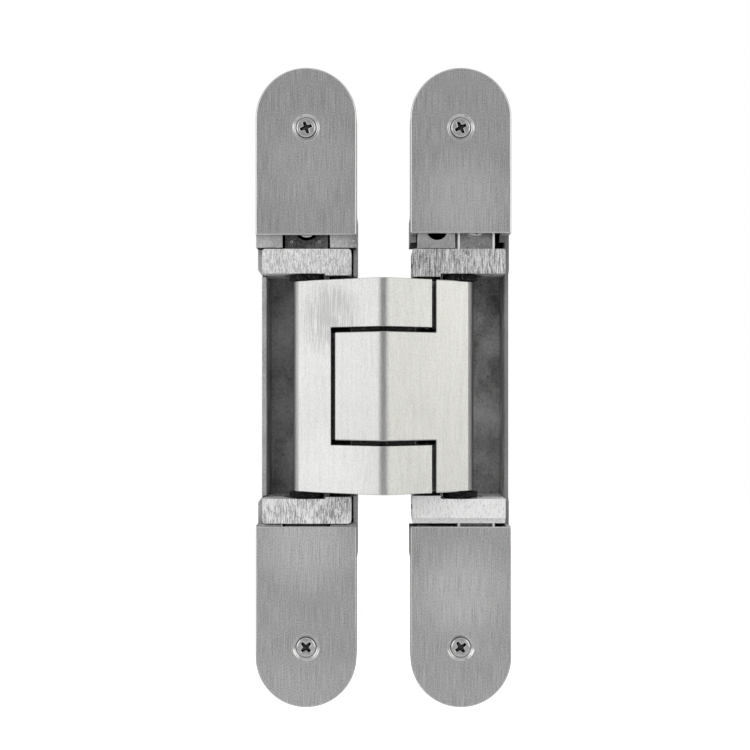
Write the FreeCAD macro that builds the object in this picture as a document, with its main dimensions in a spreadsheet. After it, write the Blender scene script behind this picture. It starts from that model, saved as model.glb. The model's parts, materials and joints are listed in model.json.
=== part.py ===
import FreeCAD, Part
import math
import os
import Sketcher

# Concealed door hinge, open flat, millimetres. X runs from the frame leaf to the door leaf,
# Y into the wood, Z up along the pivots. The origin is the middle of the frame leaf's back.

DRIVING_SIZES = {
    # Leaves
    "leaf_length": 190.0,
    "leaf_width": 30.0,
    "leaf_pitch": 46.0,
    "cover_overhang": 0.05,
    "housing_depth": 33.0,
    "floor_thickness": 2.6,
    "flange_depth": 13.0,
    "deep_margin": 4.3,
    "outer_wall": 2.6,
    "inner_wall": 1.05,
    "rim_drop": 9.0,
    "rim_margin": 0.4,
    "arm_notch_depth": 12.0,
    "left_relief": 1.2,
    "right_relief": 0.2,
    "relief_run": 1.7,
    "fixing_radius": 2.6,
    "fixing_sink_radius": 4.8,
    "fixing_end_inset": 7.5,
    "fixing_step": 7.15,
    # Covers and their screws
    "cover_thickness": 1.8,
    "cover_bevel": 0.3,
    "left_upper_cover_gap": 4.1,
    "left_lower_cover_gap": 0.85,
    "right_upper_cover_gap": 4.65,
    "right_lower_cover_gap": 0.9,
    "cover_hole_radius": 2.2,
    "cover_sink_radius": 4.0,
    "screw_head_radius": 3.5,
    "screw_shank_gap": 0.2,
    "screw_length": 9.0,
    # Carriers: end blocks between the arms and the covers
    "carrier_rise": 0.4,
    "block_height": 7.35,
    "block_front": 0.4,
    "block_back": 26.3,
    "left_block_corner": 1.0,
    "right_block_corner": 0.3,
    "left_block_wall": 1.55,
    "left_block_gap": 0.5,
    "right_block_wall": 1.35,
    "right_block_reveal": 0.55,
    "floor_relief": 0.65,
    "wall_gap": 0.3,
    "pocket_gap": 0.4,
    "left_boss_height": 0.55,
    "right_boss_height": 0.9,
    "left_boss_gap": 0.4,
    "right_boss_gap": 0.75,
    # Gap adjustment of the frame leaf
    "gap_travel": 1.5,
    "tang_width": 12.9,
    "tang_reach": 14.0,
    "tang_thickness": 4.6,
    "tang_side_gap": 0.6,
    "tang_floor_gap": 0.4,
    "tang_end_gap": 2.6,
    "gap_screw_offset": 6.45,
    "gap_screw_length": 10.5,
    "gap_bore_spare": 3.2,
    "head_clearance": 0.5,
    "head_seat": 2.0,
    "head_seat_gap": 0.8,
    "adjust_screw_radius": 1.5,
    "adjust_head_height": 1.8,
    "gap_head_radius": 2.9,
    # Depth and height adjustment of the door leaf
    "height_travel": 2.2,
    "channel_near": 0.85,
    "channel_far": 10.2,
    "channel_wall": 0.7,
    "channel_floor": 2.4,
    "channel_depth": 6.8,
    "channel_reach": 13.0,
    "channel_front_gap": 0.6,
    "channel_side_gap": 1.8,
    "depth_screw_offset": 7.45,
    "depth_screw_tail": 2.0,
    "depth_head_radius": 3.4,
    "depth_slot_gap": 1.5,
    "slide_width": 11.1,
    "slide_length": 15.3,
    "slide_base": 2.2,
    "slide_side_gap": 0.85,
    "slide_front_gap": 0.5,
    "slide_clearance": 0.2,
    "slide_end_gap": 0.8,
    "upper_slide_gap": 0.3,
    "lower_slide_gap": 1.4,
    "slide_hole_radius": 3.05,
    "slide_hole_inset": 5.3,
    "slide_hole_offset": 5.9,
    # Arms
    "arm_height": 62.8,
    "tongue_height": 31.8,
    "arm_gap": 1.37,
    "arm_end_gap": 1.17,
    "tip_overhang": 1.317,
    "centre_lift": 9.0,
    "pivot_inset": 10.037,
    "pivot_depth": 6.35,
    "crown_rise": 2.46,
    "crown_radius": 3.2,
    "barrel_radius": 4.0,
    "knuckle_radius": 4.2,
    "centre_radius": 5.2,
    "arm_back": 1.5,
    "neck_drop": 7.4,
    # Pins, rollers, washers and the bowed grooves
    "groove_start": 5.0,
    "groove_travel": 18.21,
    "groove_bow": 3.73,
    "groove_gap": 0.35,
    "groove_end_gap": 0.6,
    "centre_pin_radius": 3.0,
    "pivot_pin_radius": 2.5,
    "slide_pin_radius": 2.2,
    "running_gap": 0.05,
    "pivot_pin_seat": 5.0,
    "roller_radius": 5.2,
    "roller_flange": 1.7,
    "roller_hub_radius": 3.3,
    "roller_hub": 3.6,
    "roller_gap": 0.3,
    "washer_gap": 0.1,
    "washer_radius": 4.6,
    "wing_reach": 9.2,
    "wing_front": 4.8,
    "wing_depth": 4.5,
    "wing_drop": 6.2,
    "spacer_radius": 3.3,
}

UPPER = 1
LOWER = -1
LEFT = 1
RIGHT = -1
EDGE_TOLERANCE = 0.001

doc = FreeCAD.newDocument("concealed_hinge")
sheet = doc.addObject("Spreadsheet::Sheet", "sizes")
for row, (name, number) in enumerate(DRIVING_SIZES.items(), start=1):
    sheet.set(f"A{row}", name)
    sheet.set(f"B{row}", str(number))
    sheet.setAlias(f"B{row}", name)
doc.recompute()


# A length that knows both its number and the formula that drives it
class Size:
    def __init__(self, number, formula):
        self.number = number
        self.formula = formula

    def __add__(self, other):
        other = as_size(other)
        return Size(self.number + other.number, f"({self.formula} + {other.formula})")

    def __sub__(self, other):
        other = as_size(other)
        return Size(self.number - other.number, f"({self.formula} - {other.formula})")

    def __mul__(self, factor):
        return Size(self.number * factor, f"({self.formula} * ({factor}))")

    def __truediv__(self, factor):
        return Size(self.number / factor, f"({self.formula} / {factor})")

    def __neg__(self):
        return Size(-self.number, f"(-{self.formula})")

    __rmul__ = __mul__
    __radd__ = __add__


def as_size(amount):
    return amount if isinstance(amount, Size) else Size(float(amount), f"({float(amount)})")


def size(name):
    return Size(float(sheet.get(name)), f"sizes.{name}")


def bind(item, prop, amount):
    item.setExpression(prop, as_size(amount).formula)


def place(item, x, y, z):
    for axis, amount in zip("xyz", (x, y, z)):
        bind(item, f"Placement.Base.{axis}", amount)


# Drawing aids

class Drawing:
    def __init__(self, body, role, lift=0.0):
        self.sketch = body.newObject("Sketcher::SketchObject", "Outline")
        plane = next(item for item in body.Origin.OriginFeatures if item.Role == role)
        self.sketch.AttachmentSupport = [(plane, "")]
        self.sketch.MapMode = "FlatFace"
        bind(self.sketch, "AttachmentOffset.Base.z", lift)

    def rule(self, kind, *where):
        return self.sketch.addConstraint(Sketcher.Constraint(kind, *where))

    def measure(self, kind, *where, amount):
        amount = as_size(amount)
        index = self.rule(kind, *where, amount.number)
        self.sketch.setExpression(f"Constraints[{index}]", amount.formula)

    def pin_down(self, point, x, y):
        self.measure("DistanceX", -1, 1, *point, amount=x)
        self.measure("DistanceY", -1, 1, *point, amount=y)

    def line(self, start, end):
        flat = [FreeCAD.Vector(*spot, 0) for spot in (start, end)]
        edge = self.sketch.addGeometry(Part.LineSegment(*flat), False)
        return (edge, 1), (edge, 2)

    # An arc listed in the order it is walked, whichever way round it turns
    def arc(self, centre, radius, start, end, clockwise):
        first, last = (end, start) if clockwise else (start, end)
        turn = [math.atan2(spot[1] - centre[1], spot[0] - centre[0]) for spot in (first, last)]
        if turn[1] <= turn[0]:
            turn[1] += 2 * math.pi
        circle = Part.Circle(FreeCAD.Vector(*centre, 0), FreeCAD.Vector(0, 0, 1), radius)
        edge = self.sketch.addGeometry(Part.ArcOfCircle(circle, *turn), False)
        return ((edge, 2), (edge, 1)) if clockwise else ((edge, 1), (edge, 2))

    def circle(self, x, y, radius):
        x, y, radius = as_size(x), as_size(y), as_size(radius)
        centre = FreeCAD.Vector(x.number, y.number, 0)
        round_edge = Part.Circle(centre, FreeCAD.Vector(0, 0, 1), radius.number)
        edge = self.sketch.addGeometry(round_edge, False)
        self.pin_down((edge, 3), x, y)
        self.measure("Radius", edge, amount=radius)

    def polygon(self, points):
        points = [(as_size(x), as_size(y)) for x, y in points]
        spots = [(x.number, y.number) for x, y in points]
        edges = [self.line(a, b) for a, b in zip(spots, spots[1:] + spots[:1])]
        for edge, after in zip(edges, edges[1:] + edges[:1]):
            self.rule("Coincident", *edge[1], *after[0])
        for edge, point in zip(edges, points):
            self.pin_down(edge[0], *point)

    def rectangle(self, x_low, x_high, y_low, y_high):
        self.polygon([(x_low, y_low), (x_high, y_low), (x_high, y_high), (x_low, y_high)])

    # A straight-sided outline with one half-round end, or two
    def rounded_leaf(self, half_width, flat_end, round_end, both):
        half_width, flat_end, round_end = as_size(half_width), as_size(flat_end), as_size(round_end)
        up = 1 if round_end.number > 0 else -1
        centre = round_end - half_width * up
        wide, spring = half_width.number, centre.number
        base = -spring if both else flat_end.number
        right = self.line((wide * up, base), (wide * up, spring))
        cap = self.arc((0, spring), wide, (wide * up, spring), (-wide * up, spring), False)
        left = self.line((-wide * up, spring), (-wide * up, base))
        if both:
            foot = self.arc((0, base), wide, (-wide * up, base), (wide * up, base), False)
            self.rule("Tangent", *left[1], *foot[0])
            self.rule("Tangent", *foot[1], *right[0])
            self.pin_down((foot[0][0], 3), 0.0, -centre)
        else:
            foot = self.line((-wide * up, base), (wide * up, base))
            self.rule("Coincident", *left[1], *foot[0])
            self.rule("Coincident", *foot[1], *right[0])
            self.rule("Horizontal", foot[0][0])
            self.measure("DistanceY", -1, 1, *right[0], amount=flat_end)
        self.rule("Tangent", *right[1], *cap[0])
        self.rule("Tangent", *cap[1], *left[0])
        self.rule("Vertical", right[0][0])
        self.pin_down((cap[0][0], 3), 0.0, centre)
        self.measure("Radius", cap[0][0], amount=half_width)

    # A bowed slot: round ends on a common arc
    def bowed_slot(self, start, travel, bow, radius, side):
        swing = (travel.number ** 2 / 4 + bow.number ** 2) / (2 * bow.number)
        formula = f"(({travel.formula} ^ 2 / 4 + {bow.formula} ^ 2) / (2 * {bow.formula}))"
        hub, finish, middle = Size(swing, formula) - bow, start + travel, start + travel / 2
        heart = (hub.number * side, middle.number)

        def edge_spot(stop, grow):
            across, along = -heart[0], stop.number - heart[1]
            scale = (swing + grow * radius.number) / math.hypot(across, along)
            return heart[0] + across * scale, heart[1] + along * scale

        far_start, far_end = edge_spot(start, 1), edge_spot(finish, 1)
        near_start, near_end = edge_spot(start, -1), edge_spot(finish, -1)
        turn = side > 0
        far = self.arc(heart, swing + radius.number, far_start, far_end, turn)
        cap = self.arc((0.0, finish.number), radius.number, far_end, near_end, turn)
        near = self.arc(heart, swing - radius.number, near_end, near_start, not turn)
        head = self.arc((0.0, start.number), radius.number, near_start, far_start, turn)
        loop = [far, cap, near, head]
        for edge, after in zip(loop, loop[1:] + loop[:1]):
            self.rule("Tangent", *edge[1], *after[0])
        self.pin_down((head[0][0], 3), 0.0, start)
        self.pin_down((cap[0][0], 3), 0.0, finish)
        self.pin_down((far[0][0], 3), hub * side, middle)
        self.measure("Radius", head[0][0], amount=radius)


def new_body(label):
    body = doc.addObject("PartDesign::Body", label)
    body.Label = label
    return body


def pad(body, drawing, length, backwards=False):
    feature = body.newObject("PartDesign::Pad", "Pad")
    feature.Profile = drawing.sketch
    feature.Reversed = backwards
    feature.Refine = True
    bind(feature, "Length", length)
    return feature


# A pocket without a depth goes right through
def pocket(body, drawing, depth=None, backwards=False):
    feature = body.newObject("PartDesign::Pocket", "Pocket")
    feature.Profile = drawing.sketch
    feature.Reversed = backwards
    if depth is None:
        feature.Type = "ThroughAll"
    else:
        bind(feature, "Length", depth)
    return feature


def revolve(body, drawing):
    feature = body.newObject("PartDesign::Revolution", "Revolution")
    feature.Profile = drawing.sketch
    feature.ReferenceAxis = (drawing.sketch, ["V_Axis"])
    feature.Angle = 360.0
    return feature


def sunk_holes(body, drawing, radius, sink_radius):
    doc.recompute()
    feature = body.newObject("PartDesign::Hole", "Hole")
    feature.Profile = drawing.sketch
    feature.DepthType = "ThroughAll"
    feature.HoleCutType = "Countersink"
    bind(feature, "Diameter", radius * 2)
    feature.HoleCutCustomValues = True
    bind(feature, "HoleCutDiameter", sink_radius * 2)
    feature.HoleCutCountersinkAngle = 90.0
    return feature


def in_order(one, other):
    return sorted((one, other), key=lambda amount: amount.number)


# Shared measures: depths run into the wood from the leaves' faces, heights from the carriers' middle

half_pitch = size("leaf_pitch") / 2
leaf_end = size("leaf_length") / 2
housing_half = size("leaf_width") / 2 - size("cover_overhang")
face = -size("housing_depth")
rim = size("housing_depth") - size("cover_thickness")
rise = size("carrier_rise")
cavity_inner = housing_half - size("inner_wall")
cavity_depth = size("housing_depth") - size("floor_thickness")

arm_end = size("arm_height") / 2
roller_start = arm_end + size("washer_gap")
roller_shoulder = roller_start + size("roller_flange")
roller_end = roller_shoulder + size("roller_hub")
block_start = roller_shoulder + size("roller_gap")
block_end = block_start + size("block_height")
pocket_end = block_end + size("pocket_gap")
rim_half = block_start - size("rim_margin")

tang_front = (size("cover_thickness") + size("head_clearance") + size("gap_travel")
              + size("adjust_head_height") - size("head_seat"))
tang_back = tang_front + size("tang_thickness")
gap_screw_height = block_end + size("gap_screw_offset")

channel_front = size("cover_thickness") + size("channel_front_gap")
channel_back = channel_front + size("channel_depth")
channel_middle = (size("channel_far") - size("channel_near")) / 2
depth_screw_height = block_end + size("depth_screw_offset")
slide_end = block_end + size("upper_slide_gap") + size("slide_length")
slide_inner = size("channel_near") + size("slide_side_gap")
slide_outer = slide_inner + size("slide_width")
slide_step = channel_back + size("slide_clearance")
slide_back = slide_step + size("slide_base")

tang_channel_end = block_end + size("tang_reach") + size("tang_end_gap")
slide_channel_end = slide_end + size("height_travel") + size("slide_end_gap")
deep_half = gap_screw_height + rise + size("deep_margin")
inner_fixing = slide_channel_end + rise + size("fixing_step")
outer_fixing = leaf_end - size("fixing_end_inset")
cover_screw_height = (inner_fixing + outer_fixing) / 2
screw_shank_radius = size("cover_hole_radius") - size("screw_shank_gap")

window_half = size("tongue_height") / 2 + size("arm_gap")
tip_reach = half_pitch - size("pivot_inset") + size("tip_overhang")
window_edge = tip_reach + size("arm_end_gap")


def leaf_x(side):
    return as_size(0.0) if side == LEFT else size("leaf_pitch")


def leaf_name(side):
    return "left" if side == LEFT else "right"


def end_name(end):
    return "upper" if end == UPPER else "lower"


def boss_height(side):
    return size(f"{leaf_name(side)}_boss_height")


def boss_face(side):
    return block_start - boss_height(side)


def cover_edge(side, end):
    return block_end + rise * end + size(f"{leaf_name(side)}_{end_name(end)}_cover_gap")


# The walls drop beside the blocks on the frame leaf, and all the way to the covers on the door leaf
def low_wall(side, end):
    return pocket_end + rise * end if side == LEFT else cover_edge(side, end)


def pocket_outer(side):
    return housing_half - size(f"{leaf_name(side)}_block_wall")


flank_start = boss_face(RIGHT) - size("height_travel")
flank_end = pocket_end + size("height_travel")


# Housings: a deep box for the folded arms between two shallow screw flanges

def cut_from_rim(body, depth, x_low, x_high, z_low, z_high):
    drawing = Drawing(body, "XZ_Plane", rim)
    drawing.rectangle(x_low, x_high, z_low, z_high)
    pocket(body, drawing, depth - size("cover_thickness"))


# The frame leaf's cavity is walled all round; the door leaf's is open beside its blocks
def cavity(body, side):
    beyond = housing_half + size("wall_gap")
    if side == LEFT:
        outer = housing_half - size("outer_wall")
        block_outer = pocket_outer(LEFT)
        outline = [(-outer, -rim_half), (-block_outer, -rim_half), (-block_outer, -pocket_end),
                   (cavity_inner, -pocket_end), (cavity_inner, pocket_end), (-block_outer, pocket_end),
                   (-block_outer, rim_half), (-outer, rim_half)]
    else:
        outer = pocket_outer(RIGHT)
        outline = [(-outer, -flank_end), (beyond, -flank_end), (beyond, -flank_start),
                   (cavity_inner, -flank_start), (cavity_inner, flank_start),
                   (beyond, flank_start), (beyond, flank_end), (-outer, flank_end)]
    drawing = Drawing(body, "XZ_Plane", rim)
    drawing.polygon([(x * side, z + rise) for x, z in outline])
    pocket(body, drawing, cavity_depth - size("cover_thickness"))


def housing(side):
    body = new_body(f"{leaf_name(side)}_housing")
    box = Drawing(body, "XZ_Plane")
    box.rectangle(-housing_half, housing_half, -deep_half, deep_half)
    pad(body, box, rim)
    flange = Drawing(body, "XZ_Plane", size("housing_depth") - size("flange_depth"))
    flange.rounded_leaf(housing_half, 0.0, leaf_end - size("cover_overhang"), True)
    pad(body, flange, size("flange_depth") - size("cover_thickness"))
    cavity(body, side)
    levels = (rise - rim_half, rise + rim_half)
    beyond = housing_half + size("wall_gap")
    cut_from_rim(body, size("rim_drop"), -beyond, beyond, -low_wall(side, LOWER), low_wall(side, UPPER))
    notch = in_order((cavity_inner - size("inner_wall")) * side, beyond * side)
    cut_from_rim(body, size("arm_notch_depth"), *notch, *levels)
    outer_relief(body, side)
    for end in (UPPER, LOWER):
        if side == RIGHT:
            floor_relief(body, end)
        adjuster_channel(body, side, end)
    screw_holes(body, side)
    place(body, leaf_x(side), 0.0, 0.0)


# The long outer wall is set in between the end blocks, with a slope at both ends
def outer_relief(body, side):
    wall, inset = -housing_half, size(f"{leaf_name(side)}_relief") - housing_half
    run = block_start + size("relief_run")
    outline = [(wall, -run), (inset, -block_start), (inset, block_start), (wall, run)]
    drawing = Drawing(body, "XZ_Plane", rim)
    drawing.polygon([(x * side, z + rise) for x, z in outline])
    pocket(body, drawing, rim)


# The door leaf's floor stops short beside the blocks, which leaves their inner flanks in the open
def floor_relief(body, end):
    edge = housing_half - size("right_block_reveal") - size("floor_relief")
    drawing = Drawing(body, "XZ_Plane", rim)
    drawing.rectangle(-housing_half - size("wall_gap"), -edge,
                      *in_order(flank_start * end + rise, flank_end * end + rise))
    pocket(body, drawing, rim)


def adjuster_channel(body, side, end):
    if side == LEFT:
        high = size("tang_width") / 2 + size("tang_side_gap")
        low, finish = -high, tang_channel_end
        depth = tang_back + size("gap_travel") + size("tang_floor_gap")
    else:
        low, high = -(slide_outer + size("wall_gap")), size("channel_far") + size("channel_side_gap")
        finish, depth = slide_channel_end, slide_back + size("slide_clearance")
    cut_from_rim(body, depth, low, high, *in_order(rise + block_start * end, rise + finish * end))


def screw_holes(body, side):
    fixing = Drawing(body, "XZ_Plane", rim)
    covers = Drawing(body, "XZ_Plane", rim)
    for end in (UPPER, LOWER):
        for height in (inner_fixing, outer_fixing):
            fixing.circle(0.0, height * end, size("fixing_radius"))
        covers.circle(0.0, cover_screw_height * end, screw_shank_radius)
    sunk_holes(body, fixing, size("fixing_radius"), size("fixing_sink_radius"))
    pocket(body, covers, size("screw_length"))
    if side == LEFT:
        bores = Drawing(body, "XZ_Plane", rim)
        for end in (UPPER, LOWER):
            bore = size("adjust_screw_radius") + size("running_gap")
            bores.circle(0.0, rise + gap_screw_height * end, bore)
        reach = size("gap_screw_length") + size("gap_travel") + size("gap_bore_spare")
        pocket(body, bores, tang_front + reach)


# Cover plates and their countersunk screws

def cover(side, end):
    body = new_body(f"{leaf_name(side)}_{end_name(end)}_cover")
    inner_edge = cover_edge(side, end)
    drawing = Drawing(body, "XZ_Plane")
    drawing.rounded_leaf(size("leaf_width") / 2, inner_edge * end, leaf_end * end, False)
    plate = pad(body, drawing, size("cover_thickness"))
    doc.recompute()
    faces = plate.Shape.Faces
    front = min(range(len(faces)), key=lambda index: faces[index].CenterOfMass.y)
    bevel = body.newObject("PartDesign::Chamfer", "Bevel")
    bevel.Base = (plate, [f"Face{front + 1}"])
    bind(bevel, "Size", size("cover_bevel"))
    hole = Drawing(body, "XZ_Plane", size("cover_thickness"))
    hole.circle(0.0, cover_screw_height * end, size("cover_hole_radius"))
    sunk_holes(body, hole, size("cover_hole_radius"), size("cover_sink_radius"))
    place(body, leaf_x(side), -rim, 0.0)


def cover_screw(side, end):
    body = new_body(f"{leaf_name(side)}_{end_name(end)}_cover_screw")
    head, plate = size("screw_head_radius"), size("cover_thickness")
    sunk = size("cover_sink_radius") - head
    drawing = Drawing(body, "XY_Plane")
    drawing.polygon([(0.0, sunk), (head, sunk), (size("cover_sink_radius") - plate, plate),
                     (screw_shank_radius, plate), (screw_shank_radius, size("screw_length")),
                     (0.0, size("screw_length"))])
    revolve(body, drawing)
    place(body, leaf_x(side), face, cover_screw_height * end)


# End blocks: they carry the pivot pin and guide the sliding arm ends

def block_base(body, side, end, outer, inner):
    front, back = size("block_front"), size("block_back")
    drawing = Drawing(body, "XY_Plane", block_start * end)
    drawing.rectangle(*in_order(-outer * side, inner * side), front, back)
    pad(body, drawing, size("block_height"), backwards=end == LOWER)
    boss = Drawing(body, "XY_Plane", block_start * end)
    near = size("roller_radius") + size(f"{leaf_name(side)}_boss_gap")
    boss.rectangle(*in_order(near * side, inner * side), front, back)
    whole = pad(body, boss, boss_height(side), backwards=end == UPPER)
    doc.recompute()
    spots = [(inner, block_end), (inner, boss_face(side)), (-outer, block_end)]
    corners = [f"Edge{index + 1}" for index, edge in enumerate(whole.Shape.Edges)
               if any(math.isclose(edge.CenterOfMass.x, x.number * side, abs_tol=EDGE_TOLERANCE)
                      and math.isclose(edge.CenterOfMass.z, z.number * end, abs_tol=EDGE_TOLERANCE)
                      for x, z in spots)]
    rounded = body.newObject("PartDesign::Fillet", "Corners")
    rounded.Base = (whole, corners)
    bind(rounded, "Radius", size(f"{leaf_name(side)}_block_corner"))


def block_pockets(body, side, end):
    groove = Drawing(body, "XY_Plane", block_start * end)
    groove.bowed_slot(size("groove_start"), size("groove_travel"), size("groove_bow"),
                      size("roller_hub_radius") + size("groove_gap"), side)
    pocket(body, groove, size("roller_hub") + size("groove_end_gap"), backwards=end == UPPER)
    seat = Drawing(body, "XY_Plane", boss_face(side) * end)
    seat.circle(size("pivot_inset") * side, size("pivot_depth"), size("pivot_pin_radius"))
    pocket(body, seat, boss_height(side) + size("pivot_pin_seat"), backwards=end == UPPER)


def left_block(end):
    body = new_body(f"left_{end_name(end)}_block")
    block_base(body, LEFT, end, pocket_outer(LEFT) - size("wall_gap"), cavity_inner - size("left_block_gap"))
    half = size("tang_width") / 2
    tang = Drawing(body, "XY_Plane", block_end * end)
    tang.rectangle(-half, half, tang_front, tang_back)
    pad(body, tang, size("tang_reach"), backwards=end == LOWER)
    block_pockets(body, LEFT, end)
    seat = Drawing(body, "XZ_Plane", -tang_front)
    seat.circle(0.0, gap_screw_height * end, size("gap_head_radius") + size("head_seat_gap"))
    pocket(body, seat, size("head_seat"))
    hole = Drawing(body, "XZ_Plane")
    hole.circle(0.0, gap_screw_height * end, size("adjust_screw_radius"))
    pocket(body, hole)
    place(body, leaf_x(LEFT), face, rise)


def right_block(end):
    body = new_body(f"right_{end_name(end)}_block")
    block_base(body, RIGHT, end, pocket_outer(RIGHT) - size("wall_gap"),
               housing_half - size("right_block_reveal"))
    if end == LOWER:
        rabbet = Drawing(body, "XY_Plane", -block_end)
        rabbet.rectangle(-housing_half, housing_half, 0.0, size("cover_thickness") + size("wall_gap"))
        rabbet_height = size("height_travel") + size("wall_gap") - size("right_lower_cover_gap")
        pocket(body, rabbet, rabbet_height, backwards=True)
    near, far, wall = -size("channel_near"), size("channel_far"), size("channel_wall")
    floor = channel_back - size("channel_floor")
    channel = Drawing(body, "XY_Plane", block_end * end)
    channel.polygon([(near, channel_front), (near + wall, channel_front), (near + wall, floor),
                     (far - wall, floor), (far - wall, channel_front), (far, channel_front),
                     (far, channel_back), (near, channel_back)])
    pad(body, channel, size("channel_reach"), backwards=end == LOWER)
    block_pockets(body, RIGHT, end)
    hole = Drawing(body, "XZ_Plane")
    hole.circle(channel_middle, depth_screw_height * end, size("adjust_screw_radius"))
    pocket(body, hole)
    place(body, leaf_x(RIGHT), face, rise)


# Adjusting screws: a cheese head and a plain shank
def adjusting_screw(label, x, seat, height, head, length):
    body = new_body(label)
    shank, top = size("adjust_screw_radius"), -size("adjust_head_height")
    drawing = Drawing(body, "XY_Plane")
    drawing.polygon([(0.0, top), (head, top), (head, 0.0), (shank, 0.0), (shank, length), (0.0, length)])
    revolve(body, drawing)
    place(body, x, face + seat, rise + height)


# Height slides of the door leaf: a drilled block and a base under the channel
def height_slide(end):
    body = new_body(f"right_{end_name(end)}_height_slide")
    front = size("cover_thickness") + size("slide_front_gap")
    start = block_end + size(f"{end_name(end)}_slide_gap")
    drawing = Drawing(body, "XY_Plane", start * end)
    drawing.polygon([(-slide_outer, front), (-slide_inner, front), (-slide_inner, slide_step),
                     (size("channel_far"), slide_step), (size("channel_far"), slide_back),
                     (-slide_outer, slide_back)])
    pad(body, drawing, slide_end - start, backwards=end == LOWER)
    hole = Drawing(body, "XZ_Plane")
    hole.circle(-slide_inner - size("slide_hole_inset"), (block_end + size("slide_hole_offset")) * end,
                size("slide_hole_radius"))
    pocket(body, hole)
    slot = Drawing(body, "XZ_Plane")
    half = size("adjust_screw_radius") + size("depth_slot_gap")
    levels = in_order((depth_screw_height - half) * end, (depth_screw_height + half) * end)
    slot.rectangle(channel_middle - half, channel_middle + half, *levels)
    pocket(body, slot)
    place(body, leaf_x(RIGHT), face, rise)


# Arms: two cranked castings crossing on the centre pin. The profile is walked from the crown over
# the slide end, back along the spine, round the centre and out to the pivot end.

def arm_spots(side):
    slide = (-half_pitch * side, size("centre_lift") + size("groove_start"))
    pivot = ((half_pitch - size("pivot_inset")) * side, size("centre_lift") + size("pivot_depth"))
    return slide, pivot


def arm_outline(drawing, side):
    slide, pivot = (tuple(amount.number for amount in spot) for spot in arm_spots(side))
    crown, barrel = size("crown_radius").number, size("barrel_radius").number
    knuckle, hub = size("knuckle_radius").number, size("centre_radius").number
    spine, heart = size("arm_back").number, (0.0, -size("crown_rise").number)
    slope = math.atan2(slide[1] - heart[1], half_pitch.number)
    lean = (math.sin(slope), -math.cos(slope))
    crest = [(lean[0] * crown * sign, heart[1] + lean[1] * crown) for sign in (side, -side)]
    top = (slide[0] - lean[0] * barrel * side, slide[1] + lean[1] * barrel)
    run = math.hypot(*slide)
    along = (-slide[0] / run, -slide[1] / run)
    behind = (-along[1] * side * spine, along[0] * side * spine)
    start, finish = (math.sqrt(radius ** 2 - spine ** 2) for radius in (barrel, hub))
    back_start = tuple(slide[i] + behind[i] + along[i] * start for i in (0, 1))
    back_end = tuple(behind[i] - along[i] * finish for i in (0, 1))
    corner = (pivot[0] - knuckle * side, size("neck_drop").number)
    bearing = math.atan2(corner[1], corner[0] * side) + math.acos(hub / math.hypot(*corner))
    belly = (math.cos(bearing) * hub * side, math.sin(bearing) * hub)
    neck, tip_x = (corner[0], pivot[1]), tip_reach.number * side
    foot = (tip_x, pivot[1] - math.sqrt(knuckle ** 2 - (tip_x - pivot[0]) ** 2))
    tip = (tip_x, crest[0][1] + (abs(tip_x) - abs(crest[0][0])) * math.tan(slope))
    turn = side == LEFT
    return {
        "ridge": drawing.arc(heart, crown, crest[0], crest[1], turn),
        "slide_face": drawing.line(crest[1], top),
        "slide_eye": drawing.arc(slide, barrel, top, back_start, turn),
        "back": drawing.line(back_start, back_end),
        "middle_eye": drawing.arc((0.0, 0.0), hub, back_end, belly, turn),
        "under": drawing.line(belly, corner),
        "neck": drawing.line(corner, neck),
        "pivot_eye": drawing.arc(pivot, knuckle, neck, foot, turn),
        "tip": drawing.line(foot, tip),
        "pivot_face": drawing.line(tip, crest[0]),
    }


def arm_rules(drawing, side, edges):
    slide, pivot = arm_spots(side)
    smooth = ("ridge", "slide_face", "middle_eye", "neck", "pivot_face")
    names = list(edges)
    for name, after in zip(names, names[1:] + names[:1]):
        kind = "Tangent" if name in smooth else "Coincident"
        drawing.rule(kind, *edges[name][1], *edges[after][0])
    number = {name: edge[0][0] for name, edge in edges.items()}
    drawing.pin_down((number["ridge"], 3), 0.0, -size("crown_rise"))
    drawing.pin_down((number["slide_eye"], 3), *slide)
    drawing.pin_down((number["pivot_eye"], 3), *pivot)
    drawing.rule("Coincident", number["middle_eye"], 3, -1, 1)
    for name, radius in (("ridge", "crown_radius"), ("slide_eye", "barrel_radius"),
                         ("middle_eye", "centre_radius"), ("pivot_eye", "knuckle_radius")):
        drawing.measure("Radius", number[name], amount=size(radius))
    drawing.rule("Vertical", number["neck"])
    drawing.rule("Vertical", number["tip"])
    drawing.measure("DistanceY", -1, 1, *edges["neck"][0], amount=size("neck_drop"))
    drawing.measure("DistanceX", -1, 1, *edges["tip"][0], amount=tip_reach * side)
    guide_lines(drawing, slide, number)


# The back runs beside the line from slide to centre, and both faces slope alike
def guide_lines(drawing, slide, number):
    spine = drawing.line(tuple(amount.number for amount in slide), (0.0, 0.0))
    drawing.sketch.setConstruction(spine[0][0], True)
    drawing.rule("Coincident", *spine[0], number["slide_eye"], 3)
    drawing.rule("Coincident", *spine[1], -1, 1)
    drawing.rule("Parallel", spine[0][0], number["back"])
    drawing.measure("Distance", -1, 1, number["back"], amount=size("arm_back"))
    barrel, middle = size("barrel_radius"), FreeCAD.Vector(-slide[0].number, slide[1].number, 0)
    mirrored = Part.Circle(middle, FreeCAD.Vector(0, 0, 1), barrel.number)
    mate = drawing.sketch.addGeometry(mirrored, True)
    drawing.pin_down((mate, 3), -slide[0], slide[1])
    drawing.measure("Radius", mate, amount=barrel)
    drawing.rule("Tangent", number["pivot_face"], mate)


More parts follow.
